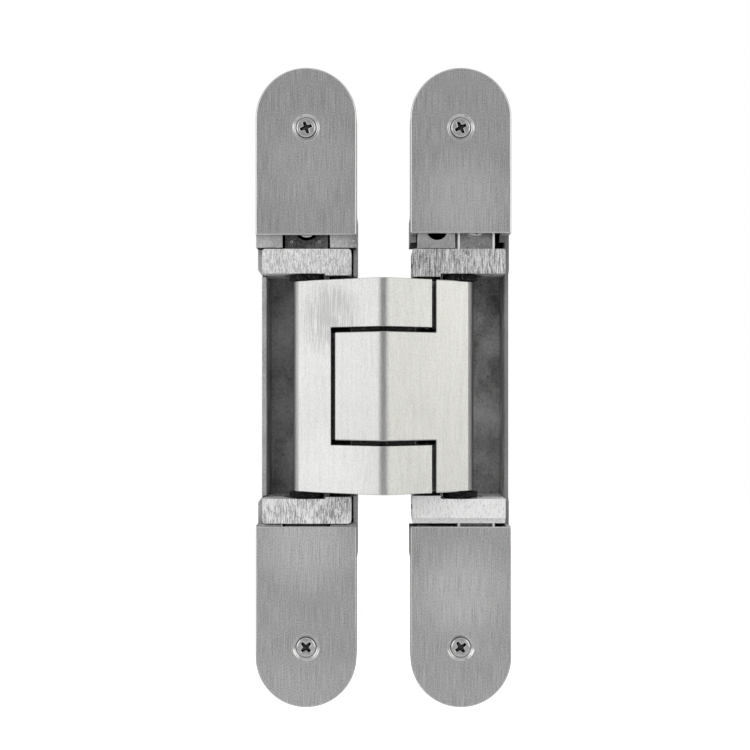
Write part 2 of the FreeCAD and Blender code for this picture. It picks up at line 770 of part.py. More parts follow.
def arm_body(label, side, centre_bore):
    body = new_body(label)
    drawing = Drawing(body, "XY_Plane", -arm_end)
    arm_rules(drawing, side, arm_outline(drawing, side))
    pad(body, drawing, size("arm_height"))
    slide, pivot = arm_spots(side)
    bores = Drawing(body, "XY_Plane", arm_end)
    bores.circle(*slide, size("slide_pin_radius"))
    bores.circle(0.0, 0.0, centre_bore)
    bores.circle(*pivot, size("pivot_pin_radius") + size("running_gap"))
    pocket(body, bores)
    place(body, half_pitch, face - size("centre_lift"), rise)
    return body


def clear_between(body, low, high, x_near, x_far):
    drawing = Drawing(body, "XY_Plane", high)
    drawing.rectangle(x_near, x_far, -size("leaf_pitch"), size("leaf_pitch"))
    pocket(body, drawing, high - low)


def outer_arm():
    body = arm_body("outer_arm", LEFT, size("centre_pin_radius"))
    clear_between(body, -window_half, window_half, -window_edge, size("leaf_pitch"))


def inner_arm():
    body = arm_body("inner_arm", RIGHT, size("centre_pin_radius") + size("running_gap"))
    half = size("tongue_height") / 2
    clear_between(body, half, arm_end, -size("leaf_pitch"), window_edge)
    clear_between(body, -arm_end, -half, -size("leaf_pitch"), window_edge)


# Pins, rollers, washers and spacers

def pin(label, radius, half_length, x, depth):
    item = doc.addObject("Part::Cylinder", label)
    item.Label = label
    bind(item, "Radius", radius)
    bind(item, "Height", half_length * 2)
    place(item, x, face + depth, rise - half_length)


def ring(label, bore, radius, low, high, x, depth):
    body = new_body(label)
    drawing = Drawing(body, "XZ_Plane")
    drawing.rectangle(bore, radius, *in_order(low, high))
    revolve(body, drawing)
    place(body, x, face + depth, rise)


def roller(side, end):
    body = new_body(f"{leaf_name(side)}_{end_name(end)}_roller")
    bore, flange, hub = size("slide_pin_radius"), size("roller_radius"), size("roller_hub_radius")
    outline = [(bore, roller_start), (flange, roller_start), (flange, roller_shoulder),
               (hub, roller_shoulder), (hub, roller_end), (bore, roller_end)]
    drawing = Drawing(body, "XZ_Plane")
    drawing.polygon([(x, z * end) for x, z in outline])
    revolve(body, drawing)
    place(body, leaf_x(side), face + size("groove_start"), rise)


# Centre washers: a ring with two wings that follow the arms and close the gap at the tongue
def centre_washer(end, tongue):
    body = new_body(f"{end_name(end)}_centre_washer")
    bottom, top = in_order(tongue * end, window_half * end)
    reach, drop = size("wing_reach"), size("wing_drop")
    front, back = -size("wing_front"), size("wing_depth") - size("wing_front")
    wings = Drawing(body, "XY_Plane", bottom)
    wings.polygon([(0.0, front), (reach, front + drop), (reach, back + drop), (0.0, back),
                   (-reach, back + drop), (-reach, front + drop)])
    pad(body, wings, top - bottom)
    hub = Drawing(body, "XY_Plane", bottom)
    hub.circle(0.0, 0.0, size("washer_radius"))
    pad(body, hub, top - bottom)
    bore = Drawing(body, "XY_Plane", top)
    bore.circle(0.0, 0.0, size("centre_pin_radius"))
    pocket(body, bore)
    place(body, half_pitch, face - size("centre_lift"), rise)


def pins_and_rings():
    centre_depth, pivot_depth = -size("centre_lift"), size("pivot_depth")
    pin("centre_pin", size("centre_pin_radius"), arm_end, half_pitch, centre_depth)
    pivot_x = {side: leaf_x(side) + size("pivot_inset") * side for side in (LEFT, RIGHT)}
    pivot_end = block_start + size("pivot_pin_seat")
    for side, x in pivot_x.items():
        name = leaf_name(side)
        pin(f"{name}_pivot_pin", size("pivot_pin_radius"), pivot_end, x, pivot_depth)
        pin(f"{name}_slide_pin", size("slide_pin_radius"), roller_end, leaf_x(side), size("groove_start"))
    gap = size("washer_gap")
    tongue = size("tongue_height") / 2 + gap
    bore, spacer = size("pivot_pin_radius"), size("spacer_radius")
    for end in (UPPER, LOWER):
        name = end_name(end)
        roller(LEFT, end)
        roller(RIGHT, end)
        centre_washer(end, tongue)
        ring(f"left_{name}_spacer", bore, spacer,
             tongue * end, boss_face(LEFT) * end, pivot_x[LEFT], pivot_depth)
        ring(f"right_{name}_pivot_washer", bore, size("knuckle_radius"),
             (arm_end + gap) * end, boss_face(RIGHT) * end, pivot_x[RIGHT], pivot_depth)
    ring("right_spacer", bore, spacer, gap - window_half, window_half - gap, pivot_x[RIGHT], pivot_depth)


def build():
    for side in (LEFT, RIGHT):
        housing(side)
        for end in (UPPER, LOWER):
            cover(side, end)
            cover_screw(side, end)
    for end in (UPPER, LOWER):
        left_block(end)
        right_block(end)
        height_slide(end)
        adjusting_screw(f"left_{end_name(end)}_gap_screw", leaf_x(LEFT), tang_front + size("head_seat"),
                        gap_screw_height * end, size("gap_head_radius"), size("gap_screw_length"))
        adjusting_screw(f"right_{end_name(end)}_depth_screw", leaf_x(RIGHT) + channel_middle,
                        channel_back - size("channel_floor"), depth_screw_height * end,
                        size("depth_head_radius"), size("channel_floor") + size("depth_screw_tail"))
    outer_arm()
    inner_arm()
    pins_and_rings()
    doc.recompute()


def write_parts():
    os.makedirs("parts", exist_ok=True)
    for item in doc.Objects:
        if any(word in item.State for word in ("Invalid", "Error")):
            raise RuntimeError(f"{item.Name} did not build")
    nodes = [item for item in doc.Objects if item.TypeId in ("PartDesign::Body", "Part::Cylinder")]
    for item in nodes:
        if item.Shape.isNull() or not item.Shape.isValid():
            raise RuntimeError(f"{item.Label} has no sound shape")
        item.Shape.exportStep(f"parts/{item.Label}.step")


build()
write_parts()
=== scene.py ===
import json
import math

import bmesh
import bpy
from mathutils import Matrix, Vector

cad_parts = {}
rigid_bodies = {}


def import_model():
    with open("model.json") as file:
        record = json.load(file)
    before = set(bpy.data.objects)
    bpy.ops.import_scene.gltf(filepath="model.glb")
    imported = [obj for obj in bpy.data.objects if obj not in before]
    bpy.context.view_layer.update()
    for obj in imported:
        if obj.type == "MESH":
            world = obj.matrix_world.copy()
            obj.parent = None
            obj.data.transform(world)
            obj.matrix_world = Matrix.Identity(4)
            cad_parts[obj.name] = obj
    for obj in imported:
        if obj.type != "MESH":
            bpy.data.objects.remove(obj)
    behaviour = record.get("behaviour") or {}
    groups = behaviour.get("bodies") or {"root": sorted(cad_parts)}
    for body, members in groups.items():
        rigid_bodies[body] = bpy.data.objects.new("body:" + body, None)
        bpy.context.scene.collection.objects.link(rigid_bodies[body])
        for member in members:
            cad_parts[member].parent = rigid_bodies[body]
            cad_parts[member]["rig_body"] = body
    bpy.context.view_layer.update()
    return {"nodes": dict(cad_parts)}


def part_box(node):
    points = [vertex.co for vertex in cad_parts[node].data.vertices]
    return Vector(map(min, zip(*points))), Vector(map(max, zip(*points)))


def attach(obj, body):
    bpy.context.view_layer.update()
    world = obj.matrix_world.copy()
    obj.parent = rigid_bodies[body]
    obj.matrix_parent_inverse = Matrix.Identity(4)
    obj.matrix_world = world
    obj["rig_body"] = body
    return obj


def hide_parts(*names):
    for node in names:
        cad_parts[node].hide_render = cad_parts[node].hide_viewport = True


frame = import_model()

mm = 0.001
scene = bpy.context.scene
nodes = frame["nodes"]
print("frame loaded:", len(nodes), "nodes")


class Wire:  # an output socket: sums, differences and products of wires add Math nodes
    def __init__(self, sheet, socket):
        self.sheet = sheet
        self.socket = socket

    def work(self, operation, first, second):
        sockets = {"Value": first, "Value_001": second}
        return self.sheet.node("ShaderNodeMath", {"operation": operation}, sockets)["Value"]

    def __add__(self, other):
        return self.work("ADD", self, other)

    def __radd__(self, other):
        return self.work("ADD", other, self)

    def __sub__(self, other):
        return self.work("SUBTRACT", self, other)

    def __rsub__(self, other):
        return self.work("SUBTRACT", other, self)

    def __mul__(self, other):
        return self.work("MULTIPLY", self, other)

    def __rmul__(self, other):
        return self.work("MULTIPLY", other, self)


noiseMean = 0.5  # a noise varies about this
spotCore = 0.35  # share of a spot's radius that is at full strength


class NodeSheet:  # the node tree of a material or of the world
    def __init__(self, owner):
        owner.use_nodes = True
        self.owner = owner
        self.tree = owner.node_tree
        self.tree.nodes.clear()

    def node(self, kind, settings=None, sockets=None):
        made = self.tree.nodes.new(kind)
        for name, value in (settings or {}).items():
            if name == "stops":
                self.setStops(made.color_ramp, value)
            else:
                setattr(made, name, value)
        inputs = {socket.identifier: socket for socket in made.inputs}
        for name, value in (sockets or {}).items():
            if isinstance(value, Wire):
                self.tree.links.new(value.socket, inputs[name])
            else:
                inputs[name].default_value = value
        return {socket.identifier: Wire(self, socket) for socket in made.outputs}

    def setStops(self, ramp, stops):  # a new ramp comes with two stops
        for index, (place, level) in enumerate(stops):
            stop = ramp.elements[index] if index < 2 else ramp.elements.new(place)
            stop.position = place
            stop.color = (level, level, level, 1.0)

    def ramp(self, factor, *stops):
        return self.node("ShaderNodeValToRGB", {"stops": stops}, {"Fac": factor})["Color"]

    def mask(self, factor, start, full):  # 0 up to start, 1 from full on
        return self.ramp(factor, (start, 0.0), (full, 1.0))

    def noise(self, size, detail, roughness, seed=(0.0, 0.0, 0.0), swirl=0.0):  # size of a grain in mm
        place = self.node("ShaderNodeTexCoord")["Object"]
        scale = tuple(1 / (length * mm) for length in size)
        spread = self.node("ShaderNodeMapping", None, {"Vector": place, "Scale": scale, "Location": seed})
        return self.node("ShaderNodeTexNoise", None, {
            "Vector": spread["Vector"], "Scale": 1.0, "Detail": detail, "Roughness": roughness,
            "Distortion": swirl})["Fac"]

    def spot(self, centre, radius):  # 1 at the middle of a round spot, 0 from its rim outwards
        place = self.node("ShaderNodeTexCoord")["Object"]
        sockets = {"Vector": place, "Vector_001": centre}
        away = self.node("ShaderNodeVectorMath", {"operation": "DISTANCE"}, sockets)["Value"]
        return self.ramp(away * (1 / radius), (spotCore, 1.0), (1.0, 0.0))

    def blend(self, factor, low, high):
        sockets = {"Factor_Float": factor, "A_Color": low, "B_Color": high}
        return self.node("ShaderNodeMix", {"data_type": "RGBA"}, sockets)["Result_Color"]

    def bump(self, strength, depth, height):  # depth of the relief in mm
        sockets = {"Strength": strength, "Distance": depth * mm, "Height": height}
        return self.node("ShaderNodeBump", None, sockets)["Normal"]


cream = (0.5, 0.4, -1.0)  # what warmth adds to red, green and blue
middleTone = 0.5  # half way between the dark and the light of a finish


def grey(level, warmth=0.0):
    return (*(level * (1 + warmth * share) for share in cream), 1.0)


def finishMaterial(sheet, sockets):
    surface = sheet.node("ShaderNodeBsdfPrincipled", None, sockets)["BSDF"]
    sheet.node("ShaderNodeOutputMaterial", None, {"Surface": surface})
    print("finish:", sheet.owner.name)
    return sheet.owner


brushed = {
    "fine": {"detail": 4.0, "roughness": 0.65}, "coarse": {"detail": 3.0, "roughness": 0.6},
    "polish": {"detail": 2.0, "roughness": 0.5}, "bandStretch": 3, "polishStretch": 1.8,
    "speck": {"size": (0.3, 0.3, 0.45), "detail": 2.0, "roughness": 0.6},
    "stain": {"size": (0.4, 0.4, 8.0), "detail": 2.0, "roughness": 0.6}, "stainCut": (0.42, 0.6),
    "scratchBand": (0.62, 0.74), "scratchGrain": (0.42, 0.62), "scratchRelief": 0.6, "scratchRough": 0.1,
    "grainRough": 0.16, "reliefDepth": 0.03}


def brushedFinish(name, look):  # vertical grain, slow changes of polish and a few deeper scratches
    sheet = NodeSheet(bpy.data.materials.new(name))
    width, length, seed = look["grainWidth"], look["grainLength"], look["seed"]
    band, size = look["band"], look["polishSize"]
    fine = sheet.noise((width, width, length), seed=seed, **brushed["fine"])
    coarse = sheet.noise((band, band, length * brushed["bandStretch"]), seed=seed, **brushed["coarse"])
    polish = sheet.noise((size, size, size * brushed["polishStretch"]), seed=seed, **brushed["polish"])
    speck = sheet.noise(seed=seed, **brushed["speck"])
    scratch = sheet.mask(coarse, *brushed["scratchBand"]) * sheet.mask(fine, *brushed["scratchGrain"])
    grain = (fine - noiseMean) * look["grain"] + (speck - noiseMean) * look["speck"]
    level = middleTone + grain + (coarse - noiseMean) * look["banding"]
    level = level + (polish - noiseMean) * look["drift"] - scratch * look["scratch"]
    rough = look["rough"] + (fine - noiseMean) * brushed["grainRough"] + scratch * brushed["scratchRough"]
    for centre, radius, gain, haze in look.get("paintedSheens", []):  # broad patches: painted sheen in the colour, with a rougher polish
        patch = sheet.spot(centre, radius)
        level = level + patch * gain
        rough = rough + patch * haze
    for centre, radius in look.get("stains", []):  # worn patches of dark streaks
        streaks = sheet.mask(sheet.noise(seed=seed, **brushed["stain"]), *brushed["stainCut"])
        level = level - sheet.spot(centre, radius) * streaks
    dark, light = grey(look["dark"], look["warmth"]), grey(look["light"], look["warmth"])
    relief = fine + scratch * brushed["scratchRelief"]
    return finishMaterial(sheet, {
        "Base Color": sheet.blend(level, dark, light), "Metallic": 1.0, "Roughness": rough,
        "Normal": sheet.bump(look["relief"], brushed["reliefDepth"], relief)})


cast = {
    "grains": {"size": (0.4, 0.4, 0.4), "detail": 2.0, "roughness": 0.6},
    "cloud": {"size": (9.0, 9.0, 13.0), "detail": 4.0, "roughness": 0.6},
    "pits": {"size": (0.8, 0.8, 0.8), "detail": 1.0, "roughness": 0.5, "seed": (3.0, 1.0, 7.0)},
    "flecks": {"size": (0.5, 0.5, 0.9), "detail": 2.0, "roughness": 0.6, "seed": (9.0, 4.0, 2.0),
               "swirl": 1.2},
    "pitCut": (0.7, 0.76), "fleckCut": (0.58, 0.72), "grainTone": 0.8, "pitTone": 0.5, "pitRelief": 0.8,
    "burrHighlight": 3.0, "punchShade": 4.0, "punchShare": 0.7, "punchRelief": 3.0,
    "relief": 0.5, "reliefDepth": 0.06, "cloudRough": 0.2}


def castFinish(name, look):  # grainy casting with fine pits, pale flecks and punched spots
    sheet = NodeSheet(bpy.data.materials.new(name))
    grains = sheet.noise(**cast["grains"])
    cloud = sheet.noise(**cast["cloud"])
    pits = sheet.mask(sheet.noise(**cast["pits"]), *cast["pitCut"])
    flecks = sheet.mask(sheet.noise(**cast["flecks"]), *cast["fleckCut"])
    level = look["base"] + (grains - noiseMean) * cast["grainTone"] + (cloud - noiseMean) * look["cloud"]
    level = level - pits * cast["pitTone"] + flecks * look["flecks"]
    height = grains - pits * cast["pitRelief"]
    for centre, radius in look.get("spots", []):  # centre-punched dimples: a bright burr as painted highlight, painted shade in the middle
        burr, punch = sheet.spot(centre, radius), sheet.spot(centre, radius * cast["punchShare"])
        level = level + burr * cast["burrHighlight"] - punch * cast["punchShade"]
        height = height - burr * cast["punchRelief"]
    return finishMaterial(sheet, {
        "Base Color": sheet.blend(level, grey(look["dark"]), grey(look["light"])),
        "Metallic": look["metal"], "Normal": sheet.bump(cast["relief"], cast["reliefDepth"], height),
        "Roughness": look["rough"] + (cloud - noiseMean) * cast["cloudRough"]})


sawn = {
    "worm": {"detail": 2.0, "roughness": 0.6, "swirl": 0.8}, "wormWidth": 0.34,
    "hair": {"detail": 2.0, "roughness": 0.6, "swirl": 0.2}, "hairWidth": 0.26, "hairStretch": 2.2,
    "speck": {"size": (0.32, 0.32, 0.44), "detail": 2.0, "roughness": 0.6},
    "patch": {"size": (6.0, 6.0, 8.0), "detail": 1.0, "roughness": 0.5},
    "hairTone": 1.3, "speckTone": 1.3, "metal": 0.2, "rough": 0.5, "hairRough": 0.2,
    "relief": 0.5, "reliefDepth": 0.07, "hairRelief": 0.5}


def streakFinish(name, look):  # sawn block faces: short wavy vertical streaks with specks between them
    sheet = NodeSheet(bpy.data.materials.new(name))
    seed, length, thick, thin = look["seed"], look["streak"], sawn["wormWidth"], sawn["hairWidth"]
    worm = sheet.noise((thick, thick, length), seed=seed, **sawn["worm"])
    hair = sheet.noise((thin, thin, length * sawn["hairStretch"]), seed=seed, **sawn["hair"])
    speck = sheet.noise(seed=seed, **sawn["speck"])
    patch = sheet.noise(seed=seed, **sawn["patch"])
    level = look["base"] + (worm - noiseMean) * look["contrast"] + (hair - noiseMean) * sawn["hairTone"]
    level = level + (speck - noiseMean) * sawn["speckTone"] + (patch - noiseMean) * look["patch"]
    relief = worm + hair * sawn["hairRelief"]
    return finishMaterial(sheet, {
        "Base Color": sheet.blend(level, grey(look["dark"]), grey(look["light"])),
        "Metallic": sawn["metal"], "Normal": sheet.bump(sawn["relief"], sawn["reliefDepth"], relief),
        "Roughness": sawn["rough"] + (hair - noiseMean) * sawn["hairRough"]})


turned = {
    "cloud": {"size": (2.4, 2.4, 2.4), "detail": 3.0, "roughness": 0.6},
    "marks": {"size": (0.45, 0.45, 3.5), "detail": 2.0, "roughness": 0.6}, "markCut": (0.6, 0.72),
    "speck": {"size": (0.5, 0.5, 0.5), "detail": 2.0, "roughness": 0.6},
    "cloudTone": 1.2, "markTone": 0.3, "cloudRough": 0.15, "markRough": 0.1,
    "relief": 0.2, "reliefDepth": 0.02, "markRelief": 0.5}


def turnedFinish(name, look):  # turned or plated metal with faint handling marks
    sheet = NodeSheet(bpy.data.materials.new(name))
    cloud = sheet.noise(**turned["cloud"])
    marks = sheet.mask(sheet.noise(**turned["marks"]), *turned["markCut"])
    speck = sheet.noise(**turned["speck"])
    level = middleTone + (cloud - noiseMean) * turned["cloudTone"] + (speck - noiseMean) * look["speck"]
    level = level - marks * turned["markTone"]
    rough = look["rough"] + (cloud - noiseMean) * turned["cloudRough"] + marks * turned["markRough"]
    relief = cloud + marks * turned["markRelief"]
    return finishMaterial(sheet, {
        "Base Color": sheet.blend(level, grey(look["dark"]), grey(look["light"])),
        "Metallic": 1.0, "Normal": sheet.bump(turned["relief"], turned["reliefDepth"], relief),
        "Roughness": rough})


moulded = {
    "fleckNoise": {"size": (0.7, 0.7, 0.7), "detail": 3.0, "roughness": 0.65}, "glintCut": (0.56, 0.7),
    "skin": {"size": (0.35, 0.35, 0.35), "detail": 2.0, "roughness": 0.5},
    "relief": 0.3, "reliefDepth": 0.03, "rough": 0.42, "fleckRough": 0.3}


def nylonFinish(name, look):  # moulded black nylon with sparse pale flecks: painted glints
    sheet = NodeSheet(bpy.data.materials.new(name))
    fleckNoise = sheet.noise(**moulded["fleckNoise"])
    skin = sheet.noise(**moulded["skin"])
    paintedGlints = sheet.mask(fleckNoise, *moulded["glintCut"])
    return finishMaterial(sheet, {
        "Base Color": sheet.blend(paintedGlints, grey(look["dark"]), grey(look["light"])),
        "Specular IOR Level": look["shine"],
        "Normal": sheet.bump(moulded["relief"], moulded["reliefDepth"], skin),
        "Roughness": moulded["rough"] + (fleckNoise - noiseMean) * moulded["fleckRough"]})


wear = {"merge": 0.002, "flatAngle": 1.5, "edgeAngle": 25, "sharpAngle": 38}  # mm, then degrees


def showPiece(name, bm, materials, body):
    mesh = bpy.data.meshes.new(name)
    bm.to_mesh(mesh)
    bm.free()
    mesh.shade_smooth()
    mesh.set_sharp_from_angle(angle=math.radians(wear["sharpAngle"]))
    for material in materials:
        mesh.materials.append(material)
    piece = bpy.data.objects.new(name, mesh)
    scene.collection.objects.link(piece)
    evener = piece.modifiers.new("Even", "WEIGHTED_NORMAL")
    evener.keep_sharp = True
    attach(piece, body)
    return piece


def firstZone(face):
    return 0


# A CAD node with worn, rounded edges; zone gives the number of a face's material
def dressNode(node, materials, look, zone=firstZone):
    bm = bmesh.new()
    bm.from_mesh(nodes[node].data)
    bmesh.ops.remove_doubles(bm, verts=bm.verts, dist=wear["merge"] * mm)
    bmesh.ops.dissolve_limit(bm, angle_limit=math.radians(wear["flatAngle"]), verts=bm.verts, edges=bm.edges)
    for face in bm.faces:
        face.material_index = zone(face)
    sharp = [line for line in bm.edges
             if len(line.link_faces) == 2 and line.calc_face_angle() > math.radians(wear["edgeAngle"])]
    bmesh.ops.bevel(bm, geom=sharp, offset=look["edge"] * mm, offset_type="OFFSET", segments=look["segments"],
                    profile=0.5, affect="EDGES", clamp_overlap=True, material=-1)
    piece = showPiece(f"{node}_dressed", bm, materials, nodes[node]["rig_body"])
    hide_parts(node)


facing, halfFacing = 0.9, 0.5  # part of a normal along an axis: looks that way, leans that way
plate = {
    "edge": 0.16, "segments": 3, "seat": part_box("left_upper_cover")[1].y, "paintedSheenRadius": 17.0,
    "brushed": {"grainWidth": 0.2, "grainLength": 9.0, "band": 2.0, "polishSize": 34.0, "grain": 3.2,
                "banding": 0.12, "speck": 2.6, "drift": 0.35, "scratch": 0.05, "relief": 0.25,
                "dark": 0.6, "light": 1.0, "warmth": 0.0, "rough": 0.38},
    "sink": {"dark": 0.86, "light": 1.0, "rough": 0.09, "speck": 0.3},
    # paintedSheens: share of the way from the straight end, gain in brightness (painted sheen) and in
    # roughness
    "left_upper": {"seed": (0.0, 0.0, 0.0), "paintedSheens": ((0.45, 0.14, 0.06),)},
    "right_upper": {"seed": (5.0, 2.0, 1.0), "paintedSheens": ((0.2, 0.22, 0.12),)},
    "left_lower": {"seed": (2.0, 8.0, 4.0), "paintedSheens": ((0.08, 0.3, 0.3), (0.95, 0.1, 0.1))},
    "right_lower": {"seed": (7.0, 3.0, 6.0), "paintedSheens": ((0.36, 0.28, 0.26),)}}


def plateFinish(side, end):
    look = plate[f"{side}_{end}"]
    low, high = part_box(f"{side}_{end}_cover")
    near, far = (low.z, high.z) if end == "upper" else (high.z, low.z)
    paintedSheens = []
    for share, gain, haze in look["paintedSheens"]:
        centre = ((low.x + high.x) / 2, low.y, near + (far - near) * share)
        paintedSheens.append((centre, plate["paintedSheenRadius"] * mm, gain, haze))
    satin = {**plate["brushed"], "seed": look["seed"], "paintedSheens": paintedSheens}
    return brushedFinish(f"{side}{end.title()}Plate", satin)


def plateZone(face):  # 1: the countersunk wall round the screw
    return 1 if -facing < face.normal.y < -halfFacing else 0


sinkFinish = turnedFinish("polishedSink", plate["sink"])
for side in ("left", "right"):
    for end in ("upper", "lower"):
        finish = [plateFinish(side, end), sinkFinish]
        dressNode(f"{side}_{end}_cover", finish, plate, plateZone)
print("plates dressed")


# near-black finish: painted shade for slots, screw seats and drilled holes
recessShadeLook = {"dark": 0.004, "light": 0.02, "rough": 0.6, "speck": 0.5}
paintedShadeFinish = turnedFinish("paintedShadeRecess", recessShadeLook)
housing = {
    "edge": 0.18, "segments": 2, "seatNear": 0.4, "wallFront": -15.0,
    "slotStart": 41.4, "slotEnd": 62.0, "slotHalf": 13.0, "slotDepth": 0.6,
    "casting": {"base": 0.5, "cloud": 0.5, "dark": 0.24, "light": 0.62,
                "metal": 0.3, "rough": 0.5, "flecks": 0.2},
    "shoulder": {"base": 0.4, "cloud": 1.1, "dark": 0.14, "light": 1.0,
                 "metal": 0.5, "rough": 0.45, "flecks": 0.9},
    "leftCavity": {"base": 0.5, "cloud": 1.6, "dark": 0.12, "light": 0.8,
                   "metal": 0.3, "rough": 0.5, "flecks": 0.2},
    "rightCavity": {"base": 0.45, "cloud": 1.8, "dark": 0.12, "light": 1.0,
                    "metal": 0.3, "rough": 0.5, "flecks": 0.2},
    # front edges of the walls, toned per side: the right ones darker, as painted shade
    "leftWall": {"base": 0.5, "cloud": 1.1, "dark": 0.2, "light": 0.76,
                 "metal": 0.3, "rough": 0.5, "flecks": 0.6},
    "rightWall": {"base": 0.5, "cloud": 1.1, "dark": 0.13, "light": 0.4,
                  "metal": 0.3, "rough": 0.5, "flecks": 0.4}}
leafMiddles = [(low.x + high.x) / 2 for low, high in (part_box("left_housing"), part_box("right_housing"))]


def inSlot(place, out, across):  # walls and floor of the slots that hold the adjusters, always in the dark: they get painted shade
    along = abs(place.z)
    inside = housing["slotStart"] * mm < along < housing["slotEnd"] * mm and across < housing["slotHalf"] * mm
    inwards = out.y < halfFacing and out.z * place.z < halfFacing * along
    return inside and inwards and place.y > plate["seat"] + housing["slotDepth"] * mm


def housingZone(face):  # 1: milled seat of the plates, 2: slots, in painted shade, 3: cavity, 4: front edges of its walls
    place, out = face.calc_center_median(), face.normal
    aside = min((place.x - middle for middle in leafMiddles), key=abs)
    if abs(place.y - plate["seat"]) < housing["seatNear"] * mm and out.y < -facing:
        return 1
    if inSlot(place, out, abs(aside)):
        return 2
    if abs(place.z) > housing["slotStart"] * mm:
        return 0
    if out.y < -facing and place.y < housing["wallFront"] * mm:
        return 4
    return 3 if out.y < halfFacing and out.x * aside <= halfFacing * abs(aside) else 0


castingFinish = castFinish("housingCasting", housing["casting"])
shoulderFinish = castFinish("milledSeat", housing["shoulder"])
for side in ("left", "right"):
    finish = [castingFinish, shoulderFinish, paintedShadeFinish]
    for part in ("Cavity", "Wall"):
        finish.append(castFinish(f"{side}{part}", housing[f"{side}{part}"]))
    dressNode(f"{side}_housing", finish, housing, housingZone)
print("housings dressed")


block = {
    "edge": 0.2, "segments": 3, "tangStart": 0.2,
    "left_upper": {"base": 0.5, "dark": 0.5, "light": 1.0, "contrast": 3.8,
                   "streak": 1.6, "patch": 0.3, "seed": (1.0, 3.0, 2.0)},
    "right_upper": {"base": 0.46, "dark": 0.14, "light": 0.9, "contrast": 2.8,
                    "streak": 3.2, "patch": 0.6, "seed": (4.0, 7.0, 5.0)},
    "left_lower": {"base": 0.62, "dark": 0.32, "light": 1.0, "contrast": 3.8,
                   "streak": 2.2, "patch": 1.2, "seed": (2.0, 5.0, 9.0)},
    "right_lower": {"base": 0.98, "dark": 0.5, "light": 1.0, "contrast": 3.0,
                    "streak": 1.5, "patch": 0.2, "seed": (6.0, 1.0, 3.0)}}
tang = {
    "headSunk": 0.2, "headSpace": 1.1, "sunkFrom": 0.1, "dimpleRadius": 0.45,
    "dimples": ((-4.5, 2.2), (3.8, 2.3)),  # across, and out from the edge of the block
    "look": {"base": 0.1, "cloud": 1.1, "dark": 0.05, "light": 0.6,
             "metal": 0.4, "rough": 0.5, "flecks": 0.1}}
channel = {"lip": 0.3, "look": {"dark": 0.36, "light": 1.0, "rough": 0.38, "speck": 1.4}}
# pale finish for the channel walls' front edges: painted highlight
paintedHighlightEdge = {"base": 0.5, "cloud": 1.1, "dark": 0.75, "light": 1.0, "metal": 0.0, "rough": 0.5, "flecks": 0.3}
tangEdge = {"upper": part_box("right_upper_height_slide")[0].z - block["tangStart"] * mm}
tangEdge["lower"] = sum(corner.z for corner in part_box("outer_arm")) - tangEdge["upper"]  # mirrored
gapScrews = [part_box("left_lower_gap_screw"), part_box("left_upper_gap_screw")]
tangFront = gapScrews[0][0].y - tang["headSunk"] * mm
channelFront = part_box("right_upper_height_slide")[0].y + channel["lip"] * mm


def onTang(face):  # tangs and channels reach out of the blocks, towards the plates
    height = face.calc_center_median().z
    return height > tangEdge["upper"] or height < tangEdge["lower"]


def tangZone(face):  # 1: tang, 2: the sunk seat round the head of its screw, in painted shade
    place = face.calc_center_median()
    if not onTang(face):
        return 0
    low, high = gapScrews[place.z > 0]
    away = math.hypot(place.x - (low.x + high.x) / 2, place.z - (low.z + high.z) / 2)
    beside = away < (high.x - low.x) / 2 + tang["headSpace"] * mm
    return 2 if beside and place.y > tangFront + tang["sunkFrom"] * mm else 1


def channelZone(face):  # 1: channel, 2: the front edges of its two walls, painted pale as a highlight
    if not onTang(face):
        return 0
    return 2 if face.normal.y < -facing and face.calc_center_median().y < channelFront else 1


def dimpleSpots():
    spots = []
    for x, z in tang["dimples"]:
        for height in (tangEdge["upper"] + z * mm, tangEdge["lower"] - z * mm):
            spots.append(((x * mm, tangFront, height), tang["dimpleRadius"] * mm))
    return spots


tangFinish = [castFinish("darkTang", {**tang["look"], "spots": dimpleSpots()}), paintedShadeFinish]
channelFinish = [turnedFinish("pressedChannel", channel["look"]), castFinish("paintedHighlightEdge", paintedHighlightEdge)]
for side, others, zone in (("left", tangFinish, tangZone), ("right", channelFinish, channelZone)):
    for end in ("upper", "lower"):
        finish = streakFinish(f"{side}{end.title()}Block", block[f"{side}_{end}"])
        dressNode(f"{side}_{end}_block", [finish] + others, block, zone)
print("blocks dressed")


slide = {
    "edge": 0.2, "segments": 3, "square": 0.9999,
    "look": {"dark": 0.62, "light": 1.0, "rough": 0.4, "speck": 1.6}}
slideFinish = [turnedFinish("heightSlide", slide["look"]), paintedShadeFinish]


def slideZone(face):  # 1: the drilled hole, in painted shade; the only faces that are neither upright nor level
    return 1 if max(abs(part) for part in face.normal) < slide["square"] else 0


for end in ("upper", "lower"):
    dressNode(f"right_{end}_height_slide", slideFinish, slide, slideZone)
print("slides dressed")


